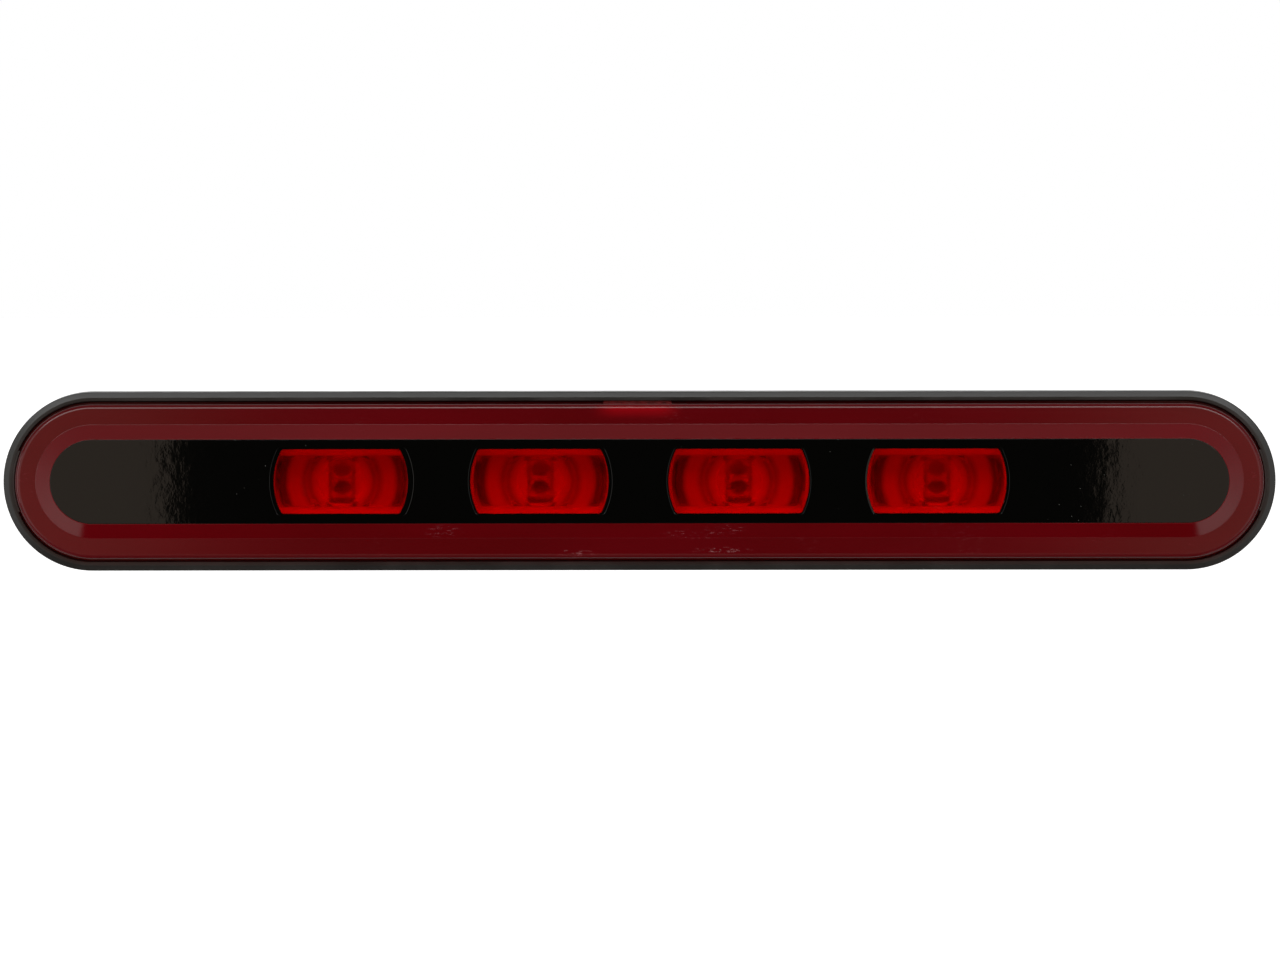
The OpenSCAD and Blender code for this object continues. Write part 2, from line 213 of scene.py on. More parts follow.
class Shell:
    """A mesh grown loop by loop: each loop is an outline at a level, and place says where that is."""

    def __init__(self, place=facing):
        self.bm = bmesh.new()
        self.place = place

    def point(self, a, b, level):
        return self.bm.verts.new(self.place(a, b, level))

    def loop(self, outline, level):
        return [self.point(a, b, level) for a, b in outline]

    def bridge(self, first, second):
        for k in range(len(first)):
            n = (k + 1) % len(first)
            self.bm.faces.new((first[k], first[n], second[n], second[k]))

    def grow(self, loop, rows):
        """Joins a loop for each row, an outline and its level, to the one before; returns the last."""
        for outline, level in rows:
            new = self.loop(outline, level)
            self.bridge(loop, new)
            loop = new
        return loop

    def cap(self, loop, holes=()):
        """Closes a loop with flat faces, leaving the holes open."""
        edges = []
        for ring in (loop, *holes):
            for k in range(len(ring)):
                pair = (ring[k - 1], ring[k])
                edges.append(self.bm.edges.get(pair) or self.bm.edges.new(pair))
        bmesh.ops.triangle_fill(self.bm, use_beauty=True, use_dissolve=False, edges=edges)

    def column(self, rows):
        """Grows a closed column from a hole in a cap, and returns the hole's loop."""
        base = self.loop(*rows[0])
        self.cap(self.grow(base, rows[1:]))
        return base

    def solid(self, *rows):
        """A closed solid through all the rows."""
        self.cap(self.column(rows))

    def prism(self, outline, low, high):
        self.solid((outline, low), (outline, high))

    def ring(self, profile):
        """A closed ring with this section, along the stadium."""
        first = self.loop(stadium(profile[0][0]), profile[0][1])
        last = self.grow(first, [(stadium(r), h) for r, h in profile[1:]])
        self.bridge(last, first)

    def revolve(self, cx, profile, steps=96):
        """A solid of revolution round the axis at x = cx; the profile starts and ends on the axis."""
        first = self.point(cx, 0, profile[0][1])
        rings = [self.loop(circle(cx, 0, r, steps), h) for r, h in profile[1:-1]]
        last = self.point(cx, 0, profile[-1][1])
        for one, two in zip(rings, rings[1:]):
            self.bridge(one, two)
        for tip, ring in ((first, rings[0]), (last, rings[-1])):
            for k in range(steps):
                self.bm.faces.new((tip, ring[k - 1], ring[k]))

    def cut_flat(self, y):
        """Cuts off what lies further from the middle than y, above or below, and closes the cut."""
        parts = self.bm.verts[:] + self.bm.edges[:] + self.bm.faces[:]
        cut = bmesh.ops.bisect_plane(self.bm, geom=parts, dist=1e-5, plane_co=(0, 0, y),
                                     plane_no=(0, 0, math.copysign(1, y)), clear_outer=True)
        edges = [e for e in cut["geom_cut"] if isinstance(e, bmesh.types.BMEdge)]
        bmesh.ops.triangle_fill(self.bm, use_beauty=True, use_dissolve=False, edges=edges)

    def piece(self, name, material, body, *nodes, edge=0.0):
        """Makes the object, which rides on its body in place of the CAD nodes named."""
        bmesh.ops.recalc_face_normals(self.bm, faces=self.bm.faces)
        self.bm.transform(Matrix.Scale(MM, 4))
        data = bpy.data.meshes.new(name)
        self.bm.to_mesh(data)
        self.bm.free()
        data.shade_smooth()
        data.set_sharp_from_angle(angle=math.radians(32))
        data.materials.append(material)
        made = bpy.data.objects.new(name, data)
        bpy.context.scene.collection.objects.link(made)
        finish_edges(made, edge)
        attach(made, body)
        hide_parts(*nodes)
        return made


def finish_edges(made, edge):
    """Rounds sharp edges by that many millimetres, and keeps flat faces flat in the shading."""
    if edge:
        bevel = made.modifiers.new("Rounded edges", "BEVEL")
        bevel.width = edge * MM
        bevel.segments = 2
        bevel.limit_method = "ANGLE"
        bevel.angle_limit = math.radians(40)
    made.modifiers.new("Flat faces stay flat", "WEIGHTED_NORMAL").keep_sharp = True


# ---- Materials ----

class Finish:
    """A material and short ways to add nodes to it."""

    def __init__(self, slot, **inputs):
        self.material = bpy.data.materials.new(slot)
        self.material.use_nodes = True
        self.material["slot"] = slot
        self.tree = self.material.node_tree
        self.shader = self.tree.nodes["Principled BSDF"]
        self.output = self.tree.nodes["Material Output"]
        self.place = self.add("ShaderNodeTexCoord").outputs["Object"]
        for name, value in inputs.items():
            self.set(self.shader, name.replace("_", " ").title().replace("Ior", "IOR"), value)

    def set(self, node, key, value):
        socket = node.inputs[key]
        if isinstance(value, bpy.types.NodeSocket):
            self.tree.links.new(value, socket)
        elif isinstance(value, tuple) and len(value) == 3 and socket.type == "RGBA":
            socket.default_value = (*value, 1)
        else:
            socket.default_value = value

    def add(self, kind, inputs=(), **settings):
        node = self.tree.nodes.new(kind)
        for name, value in settings.items():
            setattr(node, name, value)
        for key, value in dict(inputs).items():
            self.set(node, key, value)
        return node

    def math(self, kind, a, b=0.0):
        return self.add("ShaderNodeMath", {0: a, 1: b}, operation=kind).outputs[0]

    def squares(self, a, b):
        """The sum of both values' squares."""
        return self.math("ADD", self.math("MULTIPLY", a, a), self.math("MULTIPLY", b, b))

    def noise(self, size, detail=2.0, stretch=(1, 1, 1), roughness=0.5):
        """Noise with features of about that size, in millimetres."""
        place = self.add("ShaderNodeMapping", {"Vector": self.place, "Scale": stretch}).outputs[0]
        inputs = {"Vector": place, "Scale": 1 / (size * MM), "Detail": detail, "Roughness": roughness}
        return self.add("ShaderNodeTexNoise", inputs).outputs["Fac"]

    def cells(self, size):
        """How far the nearest of scattered points is, in steps of that many millimetres."""
        inputs = {"Vector": self.place, "Scale": 1 / (size * MM)}
        return self.add("ShaderNodeTexVoronoi", inputs).outputs["Distance"]

    def ramp(self, value, *stops):
        """Maps a value to the colours or grey levels of the stops (position, level)."""
        node = self.add("ShaderNodeValToRGB", {0: value})
        points = node.color_ramp.elements
        while len(points) < len(stops):
            points.new(0.5)
        for point, (position, level) in zip(points, stops):
            point.position = position
            point.color = (*level, 1) if isinstance(level, tuple) else (level, level, level, 1)
        return node.outputs["Color"]

    def between(self, value, low, high, to_low, to_high):
        """Maps a value's range low..high to to_low..to_high, with soft ends."""
        inputs = {"Value": value, "From Min": low, "From Max": high, "To Min": to_low, "To Max": to_high}
        return self.add("ShaderNodeMapRange", inputs, interpolation_type="SMOOTHSTEP").outputs[0]

    def mix(self, one, two, share):
        node = self.add("ShaderNodeMix", {0: share, 6: one, 7: two}, data_type="RGBA")
        return node.outputs[2]

    def front(self):
        """The place along the lamp and up it."""
        parts = self.add("ShaderNodeSeparateXYZ", {0: self.place}).outputs
        return parts[0], parts[2]

    def spot(self, x, z, at_x, at_z, half_w, half_h):
        """A soft oval spot on the front, given in millimetres."""
        across = self.math("MULTIPLY", self.math("SUBTRACT", x, at_x * MM), 1 / (half_w * MM))
        up = self.math("MULTIPLY", self.math("SUBTRACT", z, at_z * MM), 1 / (half_h * MM))
        return self.between(self.squares(across, up), 0.2, 1, 1, 0)

    def bump(self, height, depth, below=None):
        """Adds relief of that depth, in millimetres, on top of other relief."""
        inputs = {"Height": height, "Distance": depth * MM, "Strength": 1.0}
        if below is not None:
            inputs["Normal"] = below
        return self.add("ShaderNodeBump", inputs).outputs[0]

    def see_through_shadows(self, tint):
        """Lets light through to what lies behind, tinted, where a bare glass shader would block it."""
        clear = self.add("ShaderNodeBsdfTransparent", {"Color": tint}).outputs[0]
        shadow = self.add("ShaderNodeLightPath").outputs["Is Shadow Ray"]
        mixed = self.add("ShaderNodeMixShader", {0: shadow, 1: self.shader.outputs[0], 2: clear})
        self.tree.links.new(mixed.outputs[0], self.output.inputs["Surface"])


def moulded(slot, color, roughness, grain=0.25, depth=0.004, spread=0.25):
    """Moulded plastic or rubber: fine grain, and soft unevenness of colour and gloss."""
    finish = Finish(slot)
    patches = finish.noise(9, 3)
    dark = tuple(c * (1 - spread) for c in color)
    bright = tuple(c * (1 + spread) for c in color)
    finish.set(finish.shader, "Base Color", finish.ramp(patches, (0.3, dark), (0.7, bright)))
    gloss = finish.between(patches, 0.3, 0.7, roughness - 0.05, roughness + 0.05)
    finish.set(finish.shader, "Roughness", gloss)
    finish.set(finish.shader, "Normal", finish.bump(finish.noise(grain, 2), depth))
    return finish


def brushed(slot, color, roughness, stretch):
    """Metal with fine lines along its length and faint stains."""
    finish = Finish(slot, metallic=1.0)
    lines = finish.noise(0.25, 3, stretch)
    stains = finish.noise(3, 3)
    dull = tuple(c * 0.72 for c in color)
    finish.set(finish.shader, "Base Color", finish.ramp(stains, (0.35, dull), (0.65, color)))
    gloss = finish.between(lines, 0.3, 0.7, roughness - 0.08, roughness + 0.1)
    finish.set(finish.shader, "Roughness", gloss)
    finish.set(finish.shader, "Normal", finish.bump(lines, 0.004))
    return finish


def housing_plastic():
    color = (0.011, 0.0108, 0.0098)
    return moulded("housing_plastic", color, 0.34, grain=0.22, depth=0.006).material


def foam_rubber():
    finish = Finish("foam_rubber", roughness=0.92)
    pores = finish.cells(0.55)
    skin = finish.noise(4, 4)
    finish.set(finish.shader, "Base Color", finish.ramp(pores, (0.05, 0.006), (0.4, 0.028), (0.9, 0.04)))
    finish.set(finish.shader, "Normal", finish.bump(pores, 0.12, finish.bump(skin, 0.2)))
    return finish.material


def red_body_with_painted_light(finish, x, z):
    """Colour of the lens's body, deep on the band, with painted light: a lighter red on the bevel for the
    light it catches, and a painted glow below the gate.
    """
    past_end = finish.math("SUBTRACT", finish.math("ABSOLUTE", x), SPAN / 2 * MM)
    from_middle = finish.math("SQRT", finish.squares(finish.math("MAXIMUM", past_end, 0.0), z))
    painted_bevel_light = finish.between(from_middle, (BEVEL_R - 0.15) * MM, (BEVEL_R + 0.15) * MM, 1, 0)
    depth = finish.noise(11, 2, (0.3, 1, 1))
    band = finish.ramp(depth, (0.3, (0.078, 0.0, 0.0012)), (0.7, (0.092, 0.0, 0.0020)))
    # Painted light: the bevel is the band's acrylic, given a lighter red where the bevel catches more
    # light.
    bevel = finish.ramp(depth, (0.3, (0.114, 0.0, 0.0018)), (0.7, (0.130, 0.0, 0.0028)))

    # Painted glow: a lighter red below the gate, standing for light that comes into the lens through the
    # gate.
    from_gate = finish.math("ABSOLUTE", finish.math("ADD", x, 0.4 * MM))
    near_gate = finish.between(from_gate, 4 * MM, 9.5 * MM, 1, 0)
    below_gate = finish.math("MULTIPLY", finish.between(z, 11.9 * MM, 14.8 * MM, 0, 1),
                             finish.between(z, 14.2 * MM, 15 * MM, 1, 0.2))
    painted_gate_glow = finish.math("MULTIPLY", near_gate, below_gate)
    return finish.mix(finish.mix(band, bevel, painted_bevel_light), (0.24, 0.0, 0.003), painted_gate_glow)


def red_lens():
    """Red acrylic: clear over the windows, deep and hiding what lies behind elsewhere, scuffed."""
    finish = Finish("red_lens", ior=1.49, specular_ior_level=0.37)
    x, z = finish.front()
    clear = finish.math("MULTIPLY", finish.between(finish.math("ABSOLUTE", z), 7.0 * MM, 7.8 * MM, 1, 0),
                        finish.between(finish.math("ABSOLUTE", x), 74 * MM, 76 * MM, 1, 0))
    finish.set(finish.shader, "Transmission Weight", finish.between(clear, 0, 1, 0.15, 1.0))

    scuffs = 0.0
    for spot in SCUFFS:
        scuffs = finish.math("MAXIMUM", scuffs, finish.spot(x, z, *spot))
    streaks = finish.between(finish.noise(0.5, 5, (0.4, 1, 1), 0.7), 0.54, 0.66, 0, 1)
    patches = finish.between(finish.noise(14, 2), 0.6, 0.74, 0, 0.3)
    worn = finish.math("MULTIPLY", streaks, finish.math("ADD", scuffs, patches))

    # The body colour carries painted light: a lighter bevel and a painted glow below the gate.
    body = finish.mix(red_body_with_painted_light(finish, x, z), (0.22, 0.035, 0.045), finish.math("MULTIPLY", worn, 0.6))
    finish.set(finish.shader, "Base Color", finish.mix(body, (0.71, 0.0012, 0.004), clear))
    polish = finish.between(clear, 0, 1, 0.17, 0.06)
    dull = finish.math("MULTIPLY", worn, 0.4)
    finish.set(finish.shader, "Roughness", finish.math("MAXIMUM", polish, dull))
    waves = finish.bump(finish.noise(9, 2, (0.3, 1, 1)), 0.02)
    finish.set(finish.shader, "Normal", finish.bump(worn, 0.02, waves))
    finish.see_through_shadows((0.9, 0.035, 0.06))
    return finish.material


def gate_red():
    """The rough broken-off gate. Its chipped red, lighter than the lens, is painted glow for the light that
    comes through the lens.
    """
    finish = Finish("red_lens", ior=1.49, roughness=0.35, transmission_weight=0.5)
    chips = finish.noise(1.2, 4)
    color = finish.ramp(chips, (0.35, (0.14, 0.0, 0.002)), (0.65, (0.3, 0.004, 0.008)))
    finish.set(finish.shader, "Base Color", color)
    finish.set(finish.shader, "Normal", finish.bump(chips, 0.15))
    return finish.material


def black_mask():
    """Gloss black with the faint waviness of a moulded surface and specks of dust."""
    finish = Finish("black_mask", specular_ior_level=0.5)
    dust = finish.cells(2.1)
    where = finish.between(finish.noise(16, 2), 0.45, 0.6, 0, 1)
    speck = finish.math("MULTIPLY", finish.between(dust, 0.025, 0.06, 1, 0), where)
    color = finish.ramp(speck, (0, (0.0012, 0.0012, 0.001)), (1, (0.03, 0.032, 0.028)))
    finish.set(finish.shader, "Base Color", color)
    finish.set(finish.shader, "Roughness", finish.between(speck, 0, 1, 0.04, 0.6))
    long_waves = finish.bump(finish.noise(6, 2), 0.012)
    finish.set(finish.shader, "Normal", finish.bump(finish.noise(1.5, 3, (1.4, 1, 1)), 0.0055, long_waves))
    return finish.material


def clear_optic():
    """Clear acrylic, a little frosted, with painted shade: grey rings over the inner groove of each optic
    and darker ones over the outer.
    """
    finish = Finish("clear_optic", ior=1.49, transmission_weight=1.0)
    x, z = finish.front()
    middle, reach = WINDOW_X[4] * MM, OPTIC_PITCH / 2 * MM
    wrapped = finish.add("ShaderNodeMath", {0: x, 1: middle - reach, 2: middle + reach}, operation="WRAP")
    across = finish.math("SUBTRACT", wrapped.outputs[0], middle)
    radius = finish.math("SQRT", finish.squares(across, z))
    radius = finish.math("ADD", radius, finish.math("MULTIPLY", finish.noise(3, 3), 0.5 * MM))

    # The grey and the darker outer colour are painted shade, standing for the dark rings that refraction
    # and shadow make in the real optic.
    clear, grey, outer_groove_shade = (0.93, 0.94, 0.94), (0.62, 0.6, 0.6), (0.36, 0.34, 0.34)
    # Painted shade by distance from the optic's axis, in millimetres: clear, then darker rings over the
    # grooves
    shade_rings = ((5.3, clear), (6.3, grey), (7.6, grey), (8.7, clear),
             (10.4, clear), (11.2, outer_groove_shade), (12.6, outer_groove_shade), (13.0, clear))
    widest = 15
    share = finish.math("DIVIDE", radius, widest * MM)
    rings = finish.ramp(share, *[(r / widest, tint) for r, tint in shade_rings])
    finish.set(finish.shader, "Base Color", rings)
    finish.set(finish.shader, "Roughness", finish.between(radius, 4 * MM, 5 * MM, 0.33, 0.24))
    finish.see_through_shadows((0.94, 0.94, 0.94))
    return finish.material


def bezel_plastic():
    return moulded("bezel_plastic", (0.085, 0.08, 0.075), 0.6, grain=0.3, depth=0.01).material


def reflector_white():
    color = (0.78, 0.77, 0.74)
    return moulded("reflector_white", color, 0.35, grain=0.3, depth=0.004, spread=0.04).material


def board_laminate():
    """Green solder mask over tracks that show as lighter bands."""
    finish = Finish("board_laminate", roughness=0.32)
    _, z = finish.front()
    bend = finish.math("MULTIPLY", finish.noise(30, 0), 4 * MM)
    rows = finish.math("PINGPONG", finish.math("ADD", z, bend), 1.6 * MM)
    tracks = finish.between(rows, 0.55 * MM, 0.75 * MM, 0, 1)
    color = finish.ramp(tracks, (0, (0.006, 0.075, 0.022)), (1, (0.012, 0.14, 0.04)))
    finish.set(finish.shader, "Base Color", color)
    weave = finish.noise(0.5, 1)
    finish.set(finish.shader, "Normal", finish.bump(weave, 0.01, finish.bump(tracks, 0.03)))
    return finish.material


def led_package():
    return moulded("led_package", (0.74, 0.72, 0.68), 0.4, grain=0.2, depth=0.003, spread=0.06).material


def led_resin():
    """The window of an LED package: resin over a dark lead frame with brown dots."""
    finish = Finish("led_package", roughness=0.12, coat_weight=0.6)
    color = finish.ramp(finish.cells(0.7), (0.1, (0.1, 0.07, 0.03)), (0.4, (0.02, 0.018, 0.015)))
    finish.set(finish.shader, "Base Color", color)
    finish.set(finish.shader, "Normal", finish.bump(finish.noise(0.8, 1), 0.01))
    return finish.material


def chip_black():
    return moulded("chip_black", (0.02, 0.02, 0.021), 0.55, grain=0.12, depth=0.004).material


def ceramic_tan():
    return moulded("ceramic_tan", (0.36, 0.25, 0.15), 0.5, grain=0.15, depth=0.004, spread=0.12).material


def tinned_brass():
    return brushed("tinned_brass", (0.72, 0.66, 0.52), 0.3, (1, 0.1, 1)).material


def potting_resin():
    return moulded("potting_resin", (0.012, 0.012, 0.012), 0.2, grain=1.5, depth=0.03).material


def solder():
    return brushed("solder", (0.62, 0.62, 0.6), 0.3, (1, 1, 1)).material


def vent_film():
    return moulded("vent_film", (0.75, 0.75, 0.73), 0.8, grain=0.1, depth=0.01, spread=0.05).material


def cap_plastic():
    return moulded("cap_plastic", (0.012, 0.012, 0.012), 0.42, grain=0.2, depth=0.004).material


def screw_steel():
    return brushed("screw_steel", (0.5, 0.5, 0.5), 0.32, (1, 1, 1)).material


def spring_steel():
    return brushed("spring_steel", (0.42, 0.43, 0.44), 0.3, (1, 0.06, 1)).material


def seal_silicone():
    return moulded("sealant", (0.035, 0.035, 0.034), 0.45, grain=1.2, depth=0.03).material


def soften(node, material, edge):
    """Gives a CAD node its material and, in millimetres, rounded edges."""
    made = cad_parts[node]
    data = made.data
    data.materials.clear()
    data.materials.append(material)
    data.normals_split_custom_set([(0, 0, 0)] * len(data.loops))
    data.shade_smooth()
    data.set_sharp_from_angle(angle=math.radians(32))
    weld = made.modifiers.new("Weld", "WELD")
    weld.merge_threshold = 0.002 * MM
    flat = made.modifiers.new("Merge flat faces", "DECIMATE")
    flat.decimate_type = "DISSOLVE"
    flat.angle_limit = math.radians(0.5)
    finish_edges(made, edge)


# ---- Housing ----

def round_rows(cx, sizes):
    """Rows of circles (radius, height) round x = cx."""
    return [(circle(cx, 0, radius), h) for radius, h in sizes]


def box_rows(cx, width, height, radius, sizes):
    """Rows of rounded boxes (grown by, height) round x = cx."""
    return [(rounded_box(cx, 0, width + 2 * g, height + 2 * g, max(radius + g, 0.05)), h) for g, h in sizes]


def tray_profile():
    """Half section of the tray, from the gasket's channel round the rim to the floor inside."""
    front_r, lens_gap_r = HOUSING_R - 0.15, FLANGE_R + 0.15
    channel_in_r, channel_out_r = GASKET_INNER_R - 0.2, GASKET_R + 0.2
    return fillet([
        (channel_in_r, PLATE_BACK_H, 0), (channel_in_r, GASKET_T, 0.2),
        (channel_out_r, GASKET_T, 0.2), (channel_out_r, 1.5, 0.15),
        (HOUSING_R, 1.5, 0.3), (HOUSING_R, 3.5, 1.0),
        (front_r, RIM_H - RIM_SLOPE_DROP, 0.25), (front_r - RIM_SLOPE_W, RIM_H, 0.3),
        (lens_gap_r, RIM_H, 0.12), (lens_gap_r, LEDGE_H, 0),
        (SEAL_OUTER_R, LEDGE_H, 0), (SEAL_OUTER_R, SEAL_H, 0),
        (SEAL_INNER_R, SEAL_H, 0), (SEAL_INNER_R, LEDGE_H, 0),
        (CAVITY_R, LEDGE_H, 0.2), (CAVITY_R, FLOOR_H, 0.5), (CAVITY_R - 0.9, FLOOR_H, 0),
    ])


def tray_back_columns(shell):
    """Connector socket, two locating pegs and the towers of the spring clips."""
    root, plate = ROOT_R, PLATE_BACK_H
    socket = shell.column(box_rows(0, 20, 14, 2, [
        (root, plate), (0, plate - root), (0, SOCKET_BACK + 0.25), (-0.25, SOCKET_BACK),
        (-1.35, SOCKET_BACK), (-1.6, SOCKET_BACK + 0.25), (-1.6, 0.8)]))
    columns = [socket]
    for side in (-1, 1):
        columns.append(shell.column(round_rows(side * PEG_X, [
            (PEG_R + root, plate), (PEG_R, plate - root), (PEG_R, -5.5),
            (2.42, -5.75), (1.78, -6.42), (1.6, -6.5)])))
        x = side * CLIP_X
        foot = box_rows(x, 7, 11.4, 0.5, [(root, plate), (0, plate - root), (0, 1.6), (-0.2, 1.4)])
        tower = box_rows(x, 3.2, 9, 0.4, [(0.2, 1.4), (0, 1.2), (0, -8.4), (-0.2, -8.6)])
        columns.append(shell.column(foot + tower))
    return columns


def tray_floor_columns(shell):
    """The socket's floor, bosses of the screws and ribs under the reflector."""
    columns = [shell.column(box_rows(0, 12, 6, 1, [(0, FLOOR_H), (0, 3.2)]))]
    for x in [side * x for x in SCREW_X for side in (-1, 1)]:
        columns.append(shell.column(round_rows(x, [
            (3.3, FLOOR_H), (3, FLOOR_H + 0.3), (3, 7.05), (2.85, 7.2),
            (1.4, 7.2), (1.25, 7.05), (1.25, 3.6)])))
    for x in RIB_X:
        columns.append(shell.column(box_rows(x, 1.2, 20, 0.3, [
            (0.2, FLOOR_H), (0, FLOOR_H + 0.2), (0, 6.5), (-0.1, 6.6)])))
    return columns


def build_housing(material):
    shell = Shell()
    profile = tray_profile()
    back = shell.loop(stadium(profile[0][0]), profile[0][1])
    front = shell.grow(back, [(stadium(r), h) for r, h in profile[1:]])

    columns = tray_back_columns(shell)
    spigot = round_rows(VENT_X, [
        (VENT_R + ROOT_R, PLATE_BACK_H), (VENT_R, PLATE_BACK_H - ROOT_R), (VENT_R, -1.85),
        (VENT_R - 0.15, -2), (1.4, -2), (1.4, FLOOR_H)])
    vent_behind = shell.loop(*spigot[0])
    vent_inside = shell.grow(vent_behind, spigot[1:])
    shell.cap(back, columns + [vent_behind])
    shell.cap(front, [vent_inside] + tray_floor_columns(shell))
    shell.piece("housing_tray", material, "lamp", "housing")


def build_end_lips(material):
    """The two lips that close the gap round the lens's ends."""
    inner, outer, half = LENS_R + 0.2, FLANGE_R + 0.3, 6
    for side, name in ((-1, "housing_left_lip"), (1, "housing_right_lip")):
        turns = [math.degrees(math.asin(half / r)) for r in (inner, outer)]
        section = arc(0, 0, inner, -turns[0], turns[0], 24) + arc(0, 0, outer, turns[1], -turns[1], 24)
        lip = Shell()
        lip.prism([(side * (SPAN / 2 + x), y) for x, y in section], RIM_H - 2.4, RIM_H - 0.02)
        lip.piece(name, material, "lamp", "housing", edge=0.1)


def build_catches(material):
    """Locking ramp, guide rails and key of the connector socket, and the catches that hold the clips."""
    guides = Shell()
    for x in (-6.2, 6.2):
        guides.prism(rounded_box(x, 7.3, 1.2, 1.4, 0.15), SOCKET_BACK, PLATE_BACK_H)
    guides.prism(rounded_box(-6, -4.9, 1.2, 1.2, 0.15), SOCKET_BACK + 1.5, 1)
    guides.piece("socket_guides", material, "lamp", "housing", edge=0.1)

    ramp = Shell(from_end)
    back = SOCKET_BACK
    ramp.prism([(6.9, back + 2), (8.4, back + 5), (8.4, back + 6.4), (6.9, back + 6.4)], -3, 3)
    ramp.piece("socket_lock_ramp", material, "lamp", "housing", edge=0.15)

    for side, name in ((-1, "left_clip_catches"), (1, "right_clip_catches")):
        x = side * CLIP_X
        catches = Shell(from_above)
        catches.prism([(x - 2.3, -3.4), (x + 2.3, -3.4), (x + 1.6, -5.4), (x - 1.6, -5.4)], -2, 2)
        catches.piece(name, material, "lamp", "housing", edge=0.12)


def build_gasket(material):
    gasket = Shell()
    soft = 0.45
    gasket.ring(fillet([
        (GASKET_INNER_R, 0, soft), (GASKET_R, 0, soft),
        (GASKET_R, GASKET_T, soft), (GASKET_INNER_R, GASKET_T, soft)]))
    gasket.piece("gasket_foam", material, "lamp", "gasket")


# ---- Lens and mask ----

def build_lens(material, gate_material):
    """The red lens with its raised centre, the mask's seat and the pads that fill the mask's windows."""
    lens = Shell()
    seat_r = MASK_R + 0.05
    tongue_r = LENS_R - 1
    outside = fillet([
        (LENS_INNER_R, LEDGE_H, 0), (tongue_r, LEDGE_H, 0),
        (tongue_r, TONGUE_H, 0.2), (LENS_R, TONGUE_H, 0.2),
        (LENS_R, LEDGE_H, 0), (FLANGE_R, LEDGE_H, 0.1),
        (FLANGE_R, FLANGE_H, 0.15), (LENS_R, FLANGE_H, 0.1),
        (LENS_R, BAND_H, 1.0), (BEVEL_R, BAND_H, 0.15),
        (LIP_R, LIP_H, 0.05), (seat_r, LIP_H, 0), (seat_r, MASK_BACK, 0),
    ])
    inside = [(LENS_INNER_R, 14.6), (12.9, 15.2), (10.3, 15.2), (8.7, 16.8)]
    start = lens.loop(stadium(outside[0][0]), outside[0][1])
    lens.cap(lens.grow(start, [(stadium(r), h) for r, h in inside]))
    seat = lens.grow(start, [(stadium(r), h) for r, h in outside[1:]])
    pads = []
    edge = 0.08
    for x, (shift, pad_r) in zip(WINDOW_X.values(), PAD_FITS):
        side = window(x + shift, -PAD_GAP, pad_r)
        top = window(x + shift, -PAD_GAP - edge, pad_r)
        pads.append(lens.column([(side, MASK_BACK), (side, PAD_H - edge), (top, PAD_H)]))
    lens.cap(seat, pads)
    lens.piece("lens_shell", material, "lamp", "outer_lens")

    gate = Shell()
    gate.prism(rounded_box(-0.4, LENS_R + 0.2, 13.4, 0.75, 0.2), FLANGE_H - 0.1, 13.5)
    gate.piece("lens_gate", gate_material, "lamp", "outer_lens", edge=0.15)


def build_mask(material):
    """The gloss black skin. Its windows are bevelled at their bowed sides only and narrow to the pads."""
    mask = Shell()
    lift = 0.02
    rim = fillet([(MASK_R, MASK_BACK + lift, 0), (MASK_R, MASK_H, 0.06), (MASK_R - 0.6, MASK_H, 0)])
    back = mask.loop(stadium(rim[0][0]), rim[0][1])
    front = mask.grow(back, [(stadium(r), h) for r, h in rim[1:]])
    front_holes, back_holes = [], []
    for x, (shift, pad_r) in zip(WINDOW_X.values(), PAD_FITS):
        edge = mask.loop(window(x, 0, WINDOW_R + 0.1), MASK_H)
        pad = window(x + shift, lift - PAD_GAP, pad_r)
        front_holes.append(edge)
        back_holes.append(mask.grow(edge, [
            (window(x, 0, WINDOW_R + 0.03), MASK_H - 0.03), (window(x, 0), MASK_H - 0.1),
            (window(x, 0), MASK_H - 0.32), (pad, MASK_H - 0.34), (pad, MASK_BACK + lift)]))
    mask.cap(front, front_holes)
    mask.cap(back, back_holes)
    mask.piece("mask_skin", material, "lamp", "lens_mask")


# ---- Light engine ----

def optic_profile():
    """Half section of an inner lens: bulging back, flange, grooves, bright ring and domed centre."""
    back, front = OPTIC_BACK, OPTIC_FRONT
    bulge = [(6 * k / 10, back + 0.75 * (1 - math.cos(math.pi * k / 10))) for k in range(11)]
    steps = fillet([
        (6, back + 1.5, 0), (OPTIC_R, back + 1.5, 0.1), (OPTIC_R, back + 3.2, 0.15),
        (12.2, back + 3.2, 0.3), (11.2, back + 2.4, 0.35), (10.1, back + 4.0, 0.3), (7.1, back + 4.5, 0.3),
        (6.2, back + 2.8, 0.3), (5.2, back + 4.1, 0),
    ], 4)
    dome = []
    turn = math.radians(26)
    for k in range(1, 13):
        a = turn * (1 - k / 13)
        share = (math.cos(a) - math.cos(turn)) / (1 - math.cos(turn))
        dome.append((5.2 * math.sin(a) / math.sin(turn), front - 1 + share))
    return bulge + steps[1:] + dome + [(0, front)]


def build_optics(material):
    """Four inner lenses, each cut flat above and below."""
    profile = optic_profile()
    for i, x in WINDOW_X.items():
        optic = Shell()
        optic.revolve(x, profile)
        optic.cut_flat(OPTIC_HALF)
        optic.cut_flat(-OPTIC_HALF)
        optic.piece(f"optic_{i}_lens", material, "lamp", f"optic_{i}")


